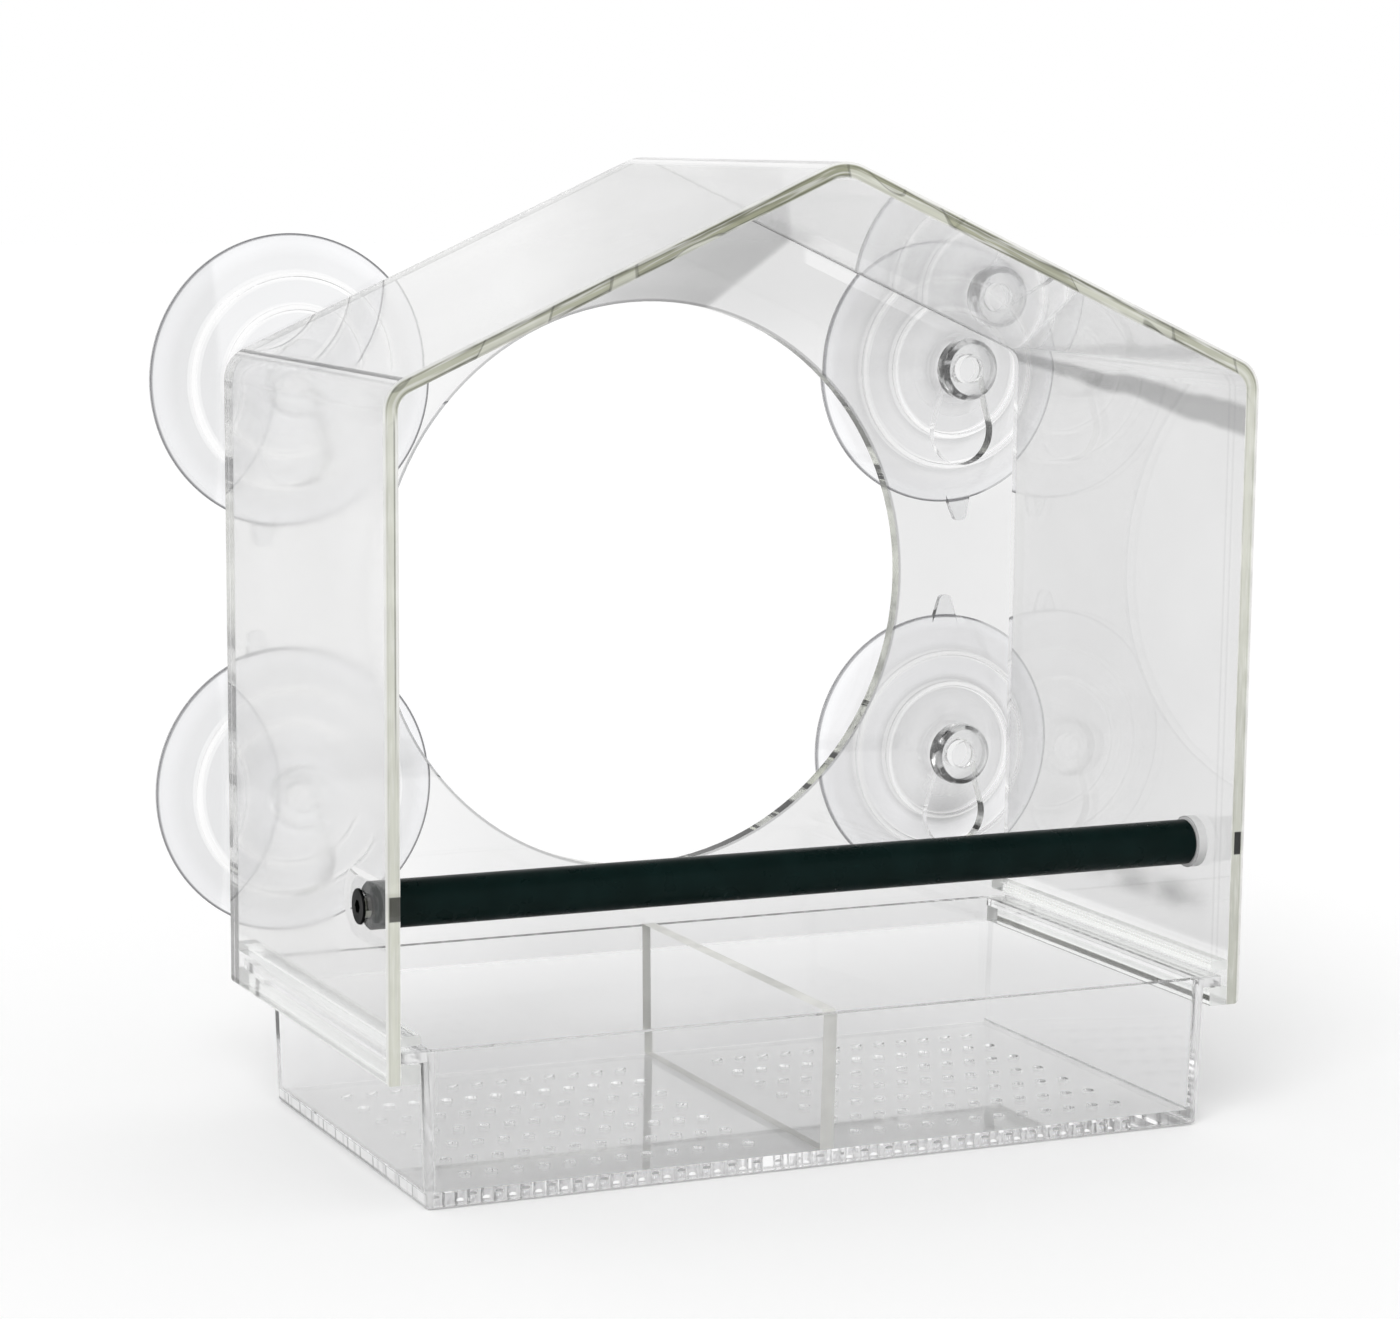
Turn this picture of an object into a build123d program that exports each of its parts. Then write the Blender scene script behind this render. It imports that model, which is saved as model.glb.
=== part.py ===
from build123d import *
from math import atan2, cos, radians, tan
import os

os.makedirs("parts", exist_ok=True)

# Window bird feeder in millimetres.
# +Z is up, the open front looks along -Y and the window pane is on the +Y side.
# The origin is under the middle of the whole outline, level with the tray's underside.

# House, a bent sheet
house_width = 190.0
house_depth = 98.0
wall_height = 133.0
roof_rise = 42.5
sheet = 3.0
shoulder_inner_radius = 4.0
ridge_inner_radius = 7.0
foot_round = 1.0

# Gap at each pair of flat faces that are bonded or rest on one another
face_gap = 0.05

# Back panel, the round window's distances from the panel's foot and from the roof
window_foot_margin = 19.25
window_roof_margin = 20.555
panel_corner_spare = 0.5

# Rails
rail_width = 4.0
lower_rail_height = 4.0
upper_rail_height = 2.0
channel_height = 3.6
rail_chamfer = 0.3

# Tray
tray_height = 31.5
tray_rear_gap = 0.5
tray_side_gap = 0.6
tray_wall = 2.0
tray_floor = 3.0
tray_draft = 1.8
tray_corner_radius = 2.0
tray_inner_radius = 1.0
tray_foot_round = 0.8
flange_height = 2.0
flange_setback = 0.5
flange_corner_radius = 1.0
divider_sheet = 3.0
divider_proud = 0.6
drain_diameter = 2.5
drain_column_pitch = 5.6
drain_row_pitch = 11.0
drain_margin = 8.0

# Perch, setback from the front edge and height from the foot of the walls
perch_diameter = 9.5
perch_setback = 14.5
perch_height = 32.5
perch_end_chamfer = 0.4
washer_diameter = 10.9
washer_thickness = 2.0
shank_diameter = 4.9
shank_clearance = 0.1
tap_clearance = 0.05
tap_spare = 2.0
screw_reach = 10.0
screw_head_diameter = 7.1
screw_head_height = 0.5
screw_head_round = 0.3
socket_width = 2.5
socket_depth = 1.6

# Suction cups, set in from the walls and between the walls' foot and shoulder
cup_diameter = 61.6
cup_side_inset = 17.0
cup_low_height = 40.0
cup_shoulder_drop = 5.3
cup_standoff = 8.0
lip_width = 1.6
lip_edge = 0.7
hub_radius = 8.0
hub_flank = 3.0
dome_height = 6.2
dome_bulge = 1.2
dish_radius = 7.0
dish_depth = 4.2
dish_bulge = 0.8
ring_shares = (0.22, 0.56)
ring_bead_radius = 0.6
neck_diameter = 6.4
head_diameter = 14.0
head_height = 3.2
head_round = 1.2
dimple_radius = 2.8
dimple_depth = 0.9
dimple_round = 0.5
head_gap = 0.2
tab_root_width = 6.3
tab_tip_width = 2.6
tab_length = 4.6
tab_thickness = 1.4
tab_lift = 0.2
tab_round = 1.2

# Each tab's turn about its cup's middle in degrees, to the right of straight up or down
top_left_tab_turn = -8.0
top_right_tab_turn = 7.0
bottom_left_tab_turn = -11.0
bottom_right_tab_turn = 1.5

# Keyholes
neck_gap = 0.3
release_diameter = 15.0
keyhole_travel = 14.2

overrun = 1.0

# Places worked out from the sizes above
half_width = house_width / 2
inner_half_width = half_width - sheet
roof_pitch = atan2(roof_rise, half_width)
front_y = -(house_depth + cup_standoff) / 2
rear_y = front_y + house_depth
panel_front_y = rear_y - sheet
window_y = rear_y + cup_standoff
foot_z = tray_height - flange_height - lower_rail_height
shoulder_z = foot_z + wall_height
apex_z = shoulder_z + roof_rise
upper_rail_z = foot_z + lower_rail_height + channel_height
ceiling_z = apex_z - sheet / cos(roof_pitch)
window_span = (ceiling_z - foot_z - window_foot_margin) * cos(roof_pitch) - window_roof_margin
window_radius = window_span / (1 + cos(roof_pitch))
window_z = foot_z + window_foot_margin + window_radius
perch_y = front_y + perch_setback
perch_z = foot_z + perch_height
perch_left_x = face_gap - inner_half_width
perch_right_x = inner_half_width - washer_thickness - 2 * face_gap
cup_low_z = foot_z + cup_low_height
cup_high_z = shoulder_z - cup_shoulder_drop
cup_spacing_x = house_width - 2 * cup_side_inset
cup_spacing_z = cup_high_z - cup_low_z


def gable(inset, foot):
    """Corners of the house's front view, the given inset inside the sheet's outer face."""
    side = half_width - inset
    shoulder = shoulder_z - inset * tan((radians(90) - roof_pitch) / 2)
    peak = apex_z - inset / cos(roof_pitch)
    return [(-side, foot), (-side, shoulder), (0, peak), (side, shoulder), (side, foot)]


def round_gable(spare):
    """Round the open sketch's shoulders and peak, the spare over the sheet's inner radii."""
    fillet(vertices().sort_by(Axis.Y)[-3:-1], shoulder_inner_radius + spare)
    fillet(vertices().sort_by(Axis.Y)[-1:], ridge_inner_radius + spare)


# House shell: both walls and both roof slopes in one bent sheet
with BuildPart() as house_shell:
    with BuildSketch(Plane.XZ.offset(-front_y)):
        with BuildLine():
            Polyline(*gable(0, foot_z), close=True)
        make_face()
        round_gable(sheet)
        fillet(vertices().group_by(Axis.Y)[0], foot_round)
        with BuildSketch(mode=Mode.SUBTRACT):
            with BuildLine():
                Polyline(*gable(sheet, foot_z - overrun), close=True)
            make_face()
            round_gable(0)
    extrude(amount=-house_depth)
    with BuildSketch(Plane.YZ.offset(-half_width - overrun)):
        with Locations((perch_y, perch_z)):
            Circle(shank_diameter / 2 + shank_clearance)
    extrude(amount=house_width + 2 * overrun, mode=Mode.SUBTRACT)

house_shell.part.label = "house_shell"
export_step(house_shell.part, "parts/house_shell.step")

# Keyhole outline about the neck's place at its narrow top
with BuildSketch() as keyhole:
    Circle(neck_diameter / 2 + neck_gap)
    with Locations((0, -keyhole_travel)):
        Circle(release_diameter / 2)
    make_hull()

# Back panel, down to the foot of the walls
with BuildPart() as back_panel:
    with BuildSketch(Plane.XZ.offset(-panel_front_y)):
        with BuildLine():
            Polyline(*gable(sheet + face_gap, foot_z), close=True)
        make_face()
        round_gable(panel_corner_spare)
        with Locations((0, window_z)):
            Circle(window_radius, mode=Mode.SUBTRACT)
        with Locations((0, (cup_low_z + cup_high_z) / 2)):
            with GridLocations(cup_spacing_x, cup_spacing_z, 2, 2):
                add(keyhole.sketch, mode=Mode.SUBTRACT)
    extrude(amount=-sheet)

back_panel.part.label = "back_panel"
export_step(back_panel.part, "parts/back_panel.step")


def make_rail(label, side, base, height):
    """Straight strip inside one wall up to the back panel, side -1 on the left and 1 on the right."""
    rail_x = inner_half_width - face_gap - rail_width / 2
    with BuildPart() as rail:
        with BuildSketch(Plane.XZ.offset(-front_y)):
            with Locations((side * rail_x, base + height / 2)):
                Rectangle(rail_width, height)
            inner_corners = vertices().sort_by(Axis.X)[-2:] if side < 0 else vertices().sort_by(Axis.X)[:2]
            chamfer(inner_corners, rail_chamfer)
        extrude(amount=front_y - panel_front_y + face_gap)
    rail.part.label = label
    export_step(rail.part, f"parts/{label}.step")


for side, side_name in ((-1, "left"), (1, "right")):
    make_rail(f"{side_name}_lower_rail", side, foot_z, lower_rail_height - face_gap)
    make_rail(f"{side_name}_upper_rail", side, upper_rail_z, upper_rail_height)

# Seed tray with side flanges and drain holes
tray_rim_width = 2 * (inner_half_width - face_gap - rail_width - tray_side_gap)
cavity_width = tray_rim_width - 2 * tray_wall
tray_depth = panel_front_y - tray_rear_gap - front_y
tray_middle_y = front_y + tray_depth / 2
cavity_depth = tray_depth - 2 * tray_wall
floor_draft = (tray_height - tray_floor) * tan(radians(tray_draft))
floor_half_width = cavity_width / 2 - floor_draft
floor_half_depth = cavity_depth / 2 - floor_draft
bay_middle = (floor_half_width + divider_sheet / 2) / 2
bay_width = floor_half_width - divider_sheet / 2
drain_columns = 1 + int((bay_width - 2 * drain_margin) / drain_column_pitch)
drain_rows = 1 + int((2 * floor_half_depth - 2 * drain_margin) / drain_row_pitch)

with BuildPart() as seed_tray:
    with BuildSketch(Plane.XY.offset(tray_height)):
        with Locations((0, tray_middle_y)):
            RectangleRounded(tray_rim_width, tray_depth, tray_corner_radius)
    extrude(amount=-tray_height, taper=tray_draft)
    fillet(faces().sort_by(Axis.Z)[0].edges(), tray_foot_round)
    with BuildSketch(Plane.XY.offset(tray_height - flange_height)):
        with Locations((0, tray_middle_y)):
            RectangleRounded(
                2 * (inner_half_width - tray_side_gap),
                tray_depth - 2 * flange_setback,
                flange_corner_radius,
            )
    extrude(amount=flange_height)
    with BuildSketch(Plane.XY.offset(tray_height)):
        with Locations((0, tray_middle_y)):
            RectangleRounded(cavity_width, cavity_depth, tray_inner_radius)
    extrude(amount=-(tray_height - tray_floor), taper=tray_draft, mode=Mode.SUBTRACT)
    with BuildSketch():
        with Locations((-bay_middle, tray_middle_y), (bay_middle, tray_middle_y)):
            with GridLocations(drain_column_pitch, drain_row_pitch, drain_columns, drain_rows):
                Circle(drain_diameter / 2)
    extrude(amount=tray_floor, mode=Mode.SUBTRACT)

seed_tray.part.label = "seed_tray"
export_step(seed_tray.part, "parts/seed_tray.step")

# Tray divider, its ends following the draft of the tray's walls
divider_top_z = tray_height + divider_proud
divider_foot_z = tray_floor + face_gap
divider_top_half = cavity_depth / 2 - face_gap + divider_proud * tan(radians(tray_draft))
divider_foot_half = floor_half_depth - face_gap

with BuildPart() as tray_divider:
    with BuildSketch(Plane.YZ.offset(-divider_sheet / 2)):
        with BuildLine():
            Polyline(
                (tray_middle_y - divider_foot_half, divider_foot_z),
                (tray_middle_y + divider_foot_half, divider_foot_z),
                (tray_middle_y + divider_top_half, divider_top_z),
                (tray_middle_y - divider_top_half, divider_top_z),
                close=True,
            )
        make_face()
    extrude(amount=divider_sheet)

tray_divider.part.label = "tray_divider"
export_step(tray_divider.part, "parts/tray_divider.step")

# Perch rod: tapped at its left end, with a spigot at its right end
with BuildPart() as perch_rod:
    with BuildSketch(Plane.YZ.offset(perch_left_x)):
        with Locations((perch_y, perch_z)):
            Circle(perch_diameter / 2)
    extrude(amount=perch_right_x - perch_left_x)
    chamfer(edges().filter_by(GeomType.CIRCLE), perch_end_chamfer)
    with BuildSketch(Plane.YZ.offset(perch_right_x)):
        with Locations((perch_y, perch_z)):
            Circle(shank_diameter / 2)
    extrude(amount=half_width - perch_right_x)
    with BuildSketch(Plane.YZ.offset(perch_left_x)):
        with Locations((perch_y, perch_z)):
            Circle(shank_diameter / 2 + tap_clearance)
    extrude(amount=screw_reach + tap_spare, mode=Mode.SUBTRACT)

perch_rod.part.label = "perch_rod"
export_step(perch_rod.part, "parts/perch_rod.step")

# Perch screw, through the left wall into the rod, with a low socket head
head_face_x = -half_width - face_gap

with BuildPart() as perch_screw:
    with BuildSketch(Plane.YZ.offset(head_face_x)):
        with Locations((perch_y, perch_z)):
            Circle(screw_head_diameter / 2)
    extrude(amount=-screw_head_height)
    fillet(edges().group_by(Axis.X)[0], screw_head_round)
    with BuildSketch(Plane.YZ.offset(head_face_x)):
        with Locations((perch_y, perch_z)):
            Circle(shank_diameter / 2)
    extrude(amount=perch_left_x + screw_reach - head_face_x)
    with BuildSketch(Plane.YZ.offset(head_face_x - screw_head_height)):
        with Locations((perch_y, perch_z)):
            RegularPolygon(socket_width / 2, 6, major_radius=False)
    extrude(amount=socket_depth, mode=Mode.SUBTRACT)

perch_screw.part.label = "perch_screw"
export_step(perch_screw.part, "parts/perch_screw.step")

# Clear washer between the rod's right end and the wall
with BuildPart() as right_perch_washer:
    with BuildSketch(Plane.YZ.offset(perch_right_x + face_gap)):
        with Locations((perch_y, perch_z)):
            Circle(washer_diameter / 2)
            Circle(shank_diameter / 2 + shank_clearance, mode=Mode.SUBTRACT)
    extrude(amount=washer_thickness)

right_perch_washer.part.label = "right_perch_washer"
export_step(right_perch_washer.part, "parts/right_perch_washer.step")


def make_cup(label, middle_x, middle_z, tab_side, tab_turn):
    """Suction cup facing the window, its tab pointing up (1) or down (-1) and turned to the right."""
    section = Plane(origin=(middle_x, window_y, middle_z), x_dir=(1, 0, 0), z_dir=(0, 0, 1))
    cup_radius = cup_diameter / 2
    hub_top = cup_standoff - head_gap
    head_foot = cup_standoff + sheet + head_gap
    head_top = head_foot + head_height
    dome_start = (hub_radius + hub_flank, -dome_height)
    dome_end = (cup_radius, -lip_edge)
    dome_middle = ((dome_start[0] + dome_end[0]) / 2, (dome_start[1] + dome_end[1]) / 2 - dome_bulge)
    dish_start = (cup_radius - lip_width, 0)
    dish_end = (dish_radius, -dish_depth)
    dish_middle = ((dish_start[0] + dish_end[0]) / 2, (dish_start[1] + dish_end[1]) / 2 - dish_bulge)
    with BuildPart() as cup:
        with BuildSketch(section):
            with BuildLine():
                Polyline((0, -dish_depth), (0, -head_top), (head_diameter / 2, -head_top))
                Line((head_diameter / 2, -head_top), (head_diameter / 2, -head_foot))
                Line((head_diameter / 2, -head_foot), (neck_diameter / 2, -head_foot))
                Line((neck_diameter / 2, -head_foot), (neck_diameter / 2, -hub_top))
                Polyline((neck_diameter / 2, -hub_top), (hub_radius, -hub_top), dome_start)
                dome = ThreePointArc(dome_start, dome_middle, dome_end)
                Polyline(dome_end, (cup_radius, 0), dish_start)
                ThreePointArc(dish_start, dish_middle, dish_end)
                Line(dish_end, (0, -dish_depth))
            make_face()
            with Locations(*[dome @ share for share in ring_shares]):
                Circle(ring_bead_radius)
        revolve(axis=Axis((middle_x, window_y, middle_z), (0, 1, 0)))
        head_rim = edges().filter_by(GeomType.CIRCLE).group_by(Axis.Y)[0]
        fillet(head_rim, head_round)
        with BuildSketch(Plane.XZ.offset(-(window_y - head_top))):
            with Locations((middle_x, middle_z)):
                Circle(dimple_radius)
        extrude(amount=-dimple_depth, mode=Mode.SUBTRACT)
        front_circles = edges().filter_by(GeomType.CIRCLE).group_by(Axis.Y)[0]
        fillet(front_circles.sort_by(SortBy.RADIUS)[0], dimple_round)
        tab_root = cup_radius - lip_width
        tab_tip = cup_radius + tab_length
        with BuildSketch(Plane.XZ.offset(-(window_y - tab_lift))):
            with Locations(Location((middle_x, middle_z, 0), (0, 0, -tab_side * tab_turn))):
                Polygon(
                    (-tab_root_width / 2, tab_side * tab_root),
                    (-tab_tip_width / 2, tab_side * tab_tip),
                    (tab_tip_width / 2, tab_side * tab_tip),
                    (tab_root_width / 2, tab_side * tab_root),
                    align=None,
                )
            upward = vertices().sort_by(Axis.Y)
            fillet(upward[-2:] if tab_side > 0 else upward[:2], tab_round)
        extrude(amount=tab_thickness)
    cup.part.label = label
    export_step(cup.part, f"parts/{label}.step")


half_spacing = cup_spacing_x / 2
make_cup("top_left_cup", -half_spacing, cup_high_z, -1, top_left_tab_turn)
make_cup("top_right_cup", half_spacing, cup_high_z, -1, top_right_tab_turn)
make_cup("bottom_left_cup", -half_spacing, cup_low_z, 1, bottom_left_tab_turn)
make_cup("bottom_right_cup", half_spacing, cup_low_z, 1, bottom_right_tab_turn)
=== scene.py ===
from math import atan2, cos, radians, sin, tan

import bpy
from mathutils import Matrix, Vector

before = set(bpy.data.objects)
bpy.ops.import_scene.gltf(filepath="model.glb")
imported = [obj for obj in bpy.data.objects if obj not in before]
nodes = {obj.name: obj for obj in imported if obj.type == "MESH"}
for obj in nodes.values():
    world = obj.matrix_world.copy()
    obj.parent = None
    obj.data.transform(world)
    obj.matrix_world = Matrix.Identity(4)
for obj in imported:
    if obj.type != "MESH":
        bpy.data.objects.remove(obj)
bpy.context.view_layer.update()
scene = bpy.context.scene

# Sizes of the feeder in metres, as built
SHEET = 0.003
HALF_WIDTH = 0.095
SHOULDER_Z = 0.1585
APEX_Z = 0.201
FRONT_Y = -0.053
ROOF_PITCH = atan2(APEX_Z - SHOULDER_Z, HALF_WIDTH)
SHOULDER_RADIUS = 0.007
RIDGE_RADIUS = 0.01
PERCH_Y = -0.0385
PERCH_Z = 0.058
SHANK_RADIUS = 0.00245
SHANK_LIFT = 0.0019
CUP_RADIUS = 0.0308
CUP_X = 0.078
CUP_HIGH_Z = 0.1532
CUP_LOW_Z = 0.0655
WINDOW_RADIUS = 0.06225
WINDOW_Z = 0.107
HEAD_REAR_Y = 0.0419
HEAD_RADIUS = 0.007
DIMPLE_RADIUS = 0.0028
WASHER_RADIUS = 0.00545
KEYHOLE_DROP = 0.0071
# Where a look fades from one side of a border to the other, in metres
ROOF_FROM_Z = (0.15, 0.158)
ON_LEFT_WALL = (-0.09, -0.088)
ON_RIGHT_WALL = (0.085, 0.088)
CLEAR_IOR = 1.49

# Camera
IMAGE_WIDTH = 1400
IMAGE_HEIGHT = 1319
FOCAL_PIXELS = 3802.0
AXIS_PIXEL = (632.0, 788.7)
YAW = radians(23.442)
PITCH = radians(9.807)
ROLL = radians(0.344)
CAMERA_PLACE = Vector((-0.3328, -0.7184, 0.2055))

forward = Vector((sin(YAW) * cos(PITCH), cos(YAW) * cos(PITCH), -sin(PITCH)))
level_right = Vector((cos(YAW), -sin(YAW), 0))
level_up = level_right.cross(forward)
right = level_right * cos(ROLL) + level_up * sin(ROLL)
up = level_up * cos(ROLL) - level_right * sin(ROLL)

camera_data = bpy.data.cameras.new("camera")
camera_data.sensor_fit = "HORIZONTAL"
camera_data.sensor_width = 36.0
camera_data.lens = FOCAL_PIXELS / IMAGE_WIDTH * camera_data.sensor_width
camera_data.shift_x = (IMAGE_WIDTH / 2 - AXIS_PIXEL[0]) / IMAGE_WIDTH
camera_data.shift_y = (AXIS_PIXEL[1] - IMAGE_HEIGHT / 2) / IMAGE_WIDTH
camera_data.clip_start = 0.01
camera_data.clip_end = 50
camera = bpy.data.objects.new("camera", camera_data)
scene.collection.objects.link(camera)
turn = Matrix((right, up, -forward)).transposed().to_4x4()
camera.matrix_world = Matrix.Translation(CAMERA_PLACE) @ turn
scene.camera = camera

scene.view_settings.view_transform = "Standard"
scene.cycles.max_bounces = 40
scene.cycles.transmission_bounces = 40
scene.cycles.glossy_bounces = 32
scene.cycles.transparent_max_bounces = 32


# Small helpers for building materials

def add(tree, kind):
    return tree.nodes.new("ShaderNode" + kind)


def put(tree, value, socket):
    """Set a socket to a number or a colour, or link it to another node's output."""
    if isinstance(value, (int, float)):
        socket.default_value = value
    elif isinstance(value, tuple):
        socket.default_value = (*value, 1)[: len(socket.default_value)]
    else:
        tree.links.new(value, socket)


def calc(tree, operation, first, second=0.0):
    node = add(tree, "Math")
    node.operation = operation
    put(tree, first, node.inputs[0])
    put(tree, second, node.inputs[1])
    return node.outputs[0]


def ramp(tree, value, low, high, low_to=0.0, high_to=1.0, soft=False):
    """The value's place between low and high, carried over to another range and held at its ends."""
    node = add(tree, "MapRange")
    if soft:
        node.interpolation_type = "SMOOTHSTEP"
    numbers = {"From Min": low, "From Max": high, "To Min": low_to, "To Max": high_to}
    for name, number in numbers.items():
        put(tree, number, node.inputs[name])
    put(tree, value, node.inputs["Value"])
    return node.outputs["Result"]


def band(tree, value, middle, half_width):
    """One at the middle and zero from half a width away."""
    away = calc(tree, "ABSOLUTE", calc(tree, "SUBTRACT", value, middle))
    return ramp(tree, away, 0.0, half_width, 1.0, 0.0, soft=True)


def stripe(tree, value, middle, half_width, fade):
    """One within half a width of the middle, fading to zero outside it."""
    away = calc(tree, "ABSOLUTE", calc(tree, "SUBTRACT", value, middle))
    return ramp(tree, away, half_width, calc(tree, "ADD", half_width, fade), 1.0, 0.0, soft=True)


def distance(tree, first, second):
    """Length of the vector with these two parts."""
    node = add(tree, "VectorMath")
    node.operation = "LENGTH"
    tree.links.new(joined(tree, first, 0.0, second), node.inputs[0])
    return node.outputs["Value"]


def both(tree, *masks):
    result = masks[0]
    for mask in masks[1:]:
        result = calc(tree, "MULTIPLY", result, mask)
    return result


def place_of(tree):
    """The three coordinates of the surface point in the piece's own frame."""
    source = add(tree, "TexCoord")
    parts = add(tree, "SeparateXYZ")
    tree.links.new(source.outputs["Object"], parts.inputs[0])
    return parts.outputs


def joined(tree, first, second, third):
    node = add(tree, "CombineXYZ")
    for value, socket in zip((first, second, third), node.inputs):
        put(tree, value, socket)
    return node.outputs[0]


def noise(tree, vector, scale=1.0, detail=2.0):
    node = add(tree, "TexNoise")
    node.inputs["Scale"].default_value = scale
    node.inputs["Detail"].default_value = detail
    tree.links.new(vector, node.inputs["Vector"])
    return node.outputs["Fac"]


def even_noise(tree, scale, detail=2.0):
    source = add(tree, "TexCoord")
    return noise(tree, source.outputs["Object"], scale, detail)


def stretched_noise(tree, place, scales, detail=2.0):
    """Noise drawn out along the axes whose scale is small."""
    x, y, z = (calc(tree, "MULTIPLY", place[index], scales[index]) for index in range(3))
    return noise(tree, joined(tree, x, y, z), 1.0, detail)


def mixed(tree, factor, first, second):
    node = add(tree, "Mix")
    node.data_type = "RGBA"
    put(tree, factor, node.inputs[0])
    put(tree, first, node.inputs[6])
    put(tree, second, node.inputs[7])
    return node.outputs[2]


def profile(tree, value, stops):
    """A colour for each place along a value from zero to one."""
    node = add(tree, "ValToRGB")
    elements = node.color_ramp.elements
    while len(elements) < len(stops):
        elements.new(0.5)
    for element, (place, colour) in zip(elements, stops):
        element.position = place
        element.color = (*colour, 1)
    put(tree, value, node.inputs[0])
    return node.outputs[0]


def facing(tree, axis):
    """How far the surface faces along an axis, from minus one to one."""
    geometry = add(tree, "NewGeometry")
    parts = add(tree, "SeparateXYZ")
    tree.links.new(geometry.outputs["True Normal"], parts.inputs[0])
    return parts.outputs["XYZ".index(axis)]


def facing_either_way(tree, axis):
    return ramp(tree, calc(tree, "ABSOLUTE", facing(tree, axis)), 0.5, 0.8)


def shaded(tree, colour, mask, darkness):
    """The colour, darkened by the given share where the mask is one."""
    share = calc(tree, "SUBTRACT", 1.0, calc(tree, "MULTIPLY", mask, darkness))
    return multiplied(tree, colour, share)


def multiplied(tree, colour, share):
    node = add(tree, "VectorMath")
    node.operation = "SCALE"
    put(tree, colour, node.inputs[0])
    put(tree, share, node.inputs["Scale"])
    return node.outputs[0]


def waves(tree, shader, height, strength, distance):
    bump = add(tree, "Bump")
    bump.inputs["Strength"].default_value = strength
    bump.inputs["Distance"].default_value = distance
    tree.links.new(height, bump.inputs["Height"])
    tree.links.new(bump.outputs[0], shader.inputs["Normal"])


def clouds(tree, scale, low_to=0.0, high_to=1.0):
    """Soft patches over the whole piece."""
    return ramp(tree, even_noise(tree, scale, 3.0), 0.35, 0.65, low_to, high_to)


def grain(tree, low_to=0.0, high_to=1.0):
    """Fine patches for cut edges."""
    return ramp(tree, even_noise(tree, 160.0), 0.4, 0.6, low_to, high_to)


def fogged(tree, low_to, high_to):
    """Uneven roughness of clear plastic."""
    return ramp(tree, even_noise(tree, 60.0, 4.0), 0.4, 0.75, low_to, high_to)


def sheet_waves(tree, shader):
    waves(tree, shader, even_noise(tree, 25.0), 0.02, 0.002)


def within(tree, value, border):
    """One below the border and zero above it."""
    return ramp(tree, value, *border, 1.0, 0.0)


def new_material(name):
    material = bpy.data.materials.new(name)
    material.use_nodes = True
    tree = material.node_tree
    tree.nodes.clear()
    shader = add(tree, "BsdfPrincipled")
    out = add(tree, "OutputMaterial")
    tree.links.new(shader.outputs[0], out.inputs["Surface"])
    return material, tree, shader


def clear(name, ior=CLEAR_IOR):
    material, tree, shader = new_material(name)
    shader.inputs["Transmission Weight"].default_value = 1.0
    shader.inputs["IOR"].default_value = ior
    return material, tree, shader


# World and lamp
WORLD_LIGHT = 0.72
BACKGROUND = 1.0
CEILING = 0.4
CEILING_FROM = sin(radians(32))
CEILING_TO = sin(radians(52))


def seen_directly(tree):
    """One where a ray comes from the camera, a reflection or a refraction, and zero elsewhere."""
    path = add(tree, "LightPath")
    first = calc(tree, "MAXIMUM", path.outputs["Is Camera Ray"], path.outputs["Is Glossy Ray"])
    return calc(tree, "MAXIMUM", first, path.outputs["Is Transmission Ray"])


world = bpy.data.worlds.new("studio")
scene.world = world
world.use_nodes = True
tree = world.node_tree
tree.nodes.clear()
lit = add(tree, "Background")
lit.inputs["Color"].default_value = (1, 1, 1, 1)
lit.inputs["Strength"].default_value = WORLD_LIGHT
shown = add(tree, "Background")
shown.inputs["Color"].default_value = (1, 1, 1, 1)
source = add(tree, "TexCoord")
direction = add(tree, "SeparateXYZ")
tree.links.new(source.outputs["Generated"], direction.inputs[0])
overhead = ramp(tree, direction.outputs["Z"], CEILING_FROM, CEILING_TO, BACKGROUND, CEILING, soft=True)
camera_ray = add(tree, "LightPath").outputs["Is Camera Ray"]
tree.links.new(calc(tree, "MAXIMUM", camera_ray, overhead), shown.inputs["Strength"])
mix = add(tree, "MixShader")
out = add(tree, "OutputWorld")
tree.links.new(seen_directly(tree), mix.inputs["Fac"])
tree.links.new(lit.outputs[0], mix.inputs[1])
tree.links.new(shown.outputs[0], mix.inputs[2])
tree.links.new(mix.outputs[0], out.inputs["Surface"])

LAMP_PLACE = Vector((-0.7, -0.8, 1.3))
LAMP_TARGET = Vector((0, 0, 0.08))
lamp_data = bpy.data.lights.new("key_lamp", "SUN")
lamp_data.angle = radians(30)
lamp_data.energy = 1.0
lamp = bpy.data.objects.new("key_lamp", lamp_data)
scene.collection.objects.link(lamp)
lamp.location = LAMP_PLACE
lamp.rotation_euler = (LAMP_TARGET - LAMP_PLACE).to_track_quat("-Z", "Y").to_euler()

# Floor
FLOOR_HALF = 6.0
FLOOR_DROP = 0.0003
FLOOR_GLOW = 0.2
corners = [(x * FLOOR_HALF, y * FLOOR_HALF, 0) for x, y in ((-1, -1), (1, -1), (1, 1), (-1, 1))]
floor_mesh = bpy.data.meshes.new("floor")
floor_mesh.from_pydata(corners, [], [(0, 1, 2, 3)])
floor = bpy.data.objects.new("floor", floor_mesh)
scene.collection.objects.link(floor)
floor.location.z = -FLOOR_DROP
floor_material = bpy.data.materials.new("floor")
floor_material.use_nodes = True
tree = floor_material.node_tree
tree.nodes.clear()
matte = add(tree, "BsdfDiffuse")
matte.inputs["Color"].default_value = (0.85, 0.85, 0.85, 1)
glow = add(tree, "Emission")
glow.inputs["Color"].default_value = (1, 1, 1, 1)
tree.links.new(calc(tree, "MULTIPLY", seen_directly(tree), FLOOR_GLOW), glow.inputs["Strength"])
total = add(tree, "AddShader")
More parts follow.
